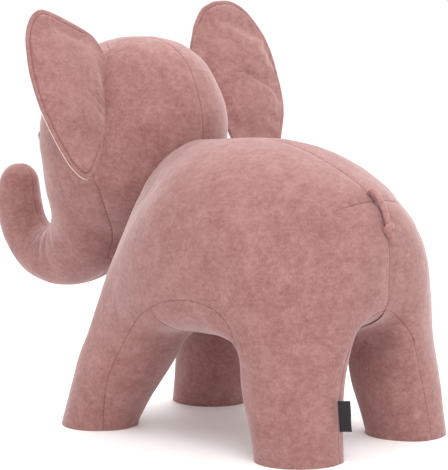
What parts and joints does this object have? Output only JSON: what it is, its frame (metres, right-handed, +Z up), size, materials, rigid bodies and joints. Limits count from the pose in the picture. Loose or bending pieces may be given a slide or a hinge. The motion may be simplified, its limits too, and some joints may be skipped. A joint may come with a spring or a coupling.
{
  "type": "elephant footstool",
  "caption": "Child's stuffed elephant footstool: padded body on four splayed legs, raised head with curled trunk, two folding ears, knotted tail and a zip under the rump.",
  "frame": {"origin": "centre of the bounding box in plan, at floor level", "axes": "+Z up, the elephant faces -Y, its left side is +X"},
  "size_m": [0.522, 0.7793, 0.6046],
  "materials": {
    "suede": "micro-suede",
    "cream": "micro-suede",
    "black_felt": "felt",
    "foam": "open-cell foam",
    "fibre": "polyester fibre fill",
    "plywood": "bare plywood",
    "beech": "bare beech",
    "steel": "zinc plated",
    "eye": "gloss",
    "tape": "woven tape",
    "nylon": "nylon coil",
    "label": "woven, blank"
  },
  "bodies": {
    "base": {"side_panel_left": "suede", "side_panel_right": "suede", "belly_panel": "suede", "rear_leg_inner_left": "suede", "rear_leg_inner_right": "suede", "front_leg_inner_left": "suede", "front_leg_inner_right": "suede", "seat_board": "plywood", "sole_rear_left": "black_felt", "foot_disc_rear_left": "plywood", "leg_post_rear_left": "beech", "post_bolt_rear_left": "steel", "sole_front_left": "black_felt", "foot_disc_front_left": "plywood", "leg_post_front_left": "beech", "post_bolt_front_left": "steel", "sole_rear_right": "black_felt", "foot_disc_rear_right": "plywood", "leg_post_rear_right": "beech", "post_bolt_rear_right": "steel", "sole_front_right": "black_felt", "foot_disc_front_right": "plywood", "leg_post_front_right": "beech", "post_bolt_front_right": "steel", "neck_board": "plywood", "neck_gusset": "plywood", "head_peg": "beech", "torso_foam": "foam", "leg_foam_rear_left": "foam", "haunch_foam_rear_left": "foam", "leg_foam_front_left": "foam", "haunch_foam_front_left": "foam", "leg_foam_rear_right": "foam", "haunch_foam_rear_right": "foam", "leg_foam_front_right": "foam", "haunch_foam_front_right": "foam", "face_panel_left": "suede", "face_panel_right": "suede", "nape_panel_left": "suede", "nape_panel_right": "suede", "head_fill": "fibre", "trunk_fill": "fibre", "eye_left": "eye", "eye_right": "eye", "zip_tape_left": "tape", "zip_tape_right": "tape", "zip_chain": "nylon", "label": "label"},
    "ear_left": {"ear_back_left": "suede", "ear_front_left": "cream", "ear_pad_left": "foam"},
    "ear_right": {"ear_back_right": "suede", "ear_front_right": "cream", "ear_pad_right": "foam"},
    "tail": {"tail_cord": "suede", "tail_knot": "suede"},
    "zip_slider": {"zip_slider": "steel"},
    "zip_pull": {"zip_pull": "steel"}
  },
  "joints": [
    {"name": "ear_left_fold", "type": "hinge", "parent": "base", "child": "ear_left", "pos_m": [0.11382, -0.04913, 0.48151], "axis": [-0.3291, -0.3541, 0.8754], "range_deg": [-30, 25], "stiffness_Nm_per_rad": 0.5},
    {"name": "ear_right_fold", "type": "hinge", "parent": "base", "child": "ear_right", "pos_m": [-0.11382, -0.04913, 0.48151], "axis": [-0.3291, 0.3541, -0.8754], "range_deg": [-30, 25], "stiffness_Nm_per_rad": 0.5},
    {"name": "tail_lift", "type": "hinge", "parent": "base", "child": "tail", "pos_m": [0.00052, 0.34246, 0.34881], "axis": [1, 0, 0], "range_deg": [0, 50]},
    {"name": "zip_slide", "type": "slide", "parent": "base", "child": "zip_slider", "axis": [0, 0.8988, 0.4384], "range_m": [0, 0.03]},
    {"name": "zip_pull_swing", "type": "hinge", "parent": "zip_slider", "child": "zip_pull", "pos_m": [0, 0.30643, 0.15991], "axis": [1, 0, 0], "range_deg": [-45, 55]}
  ]
}
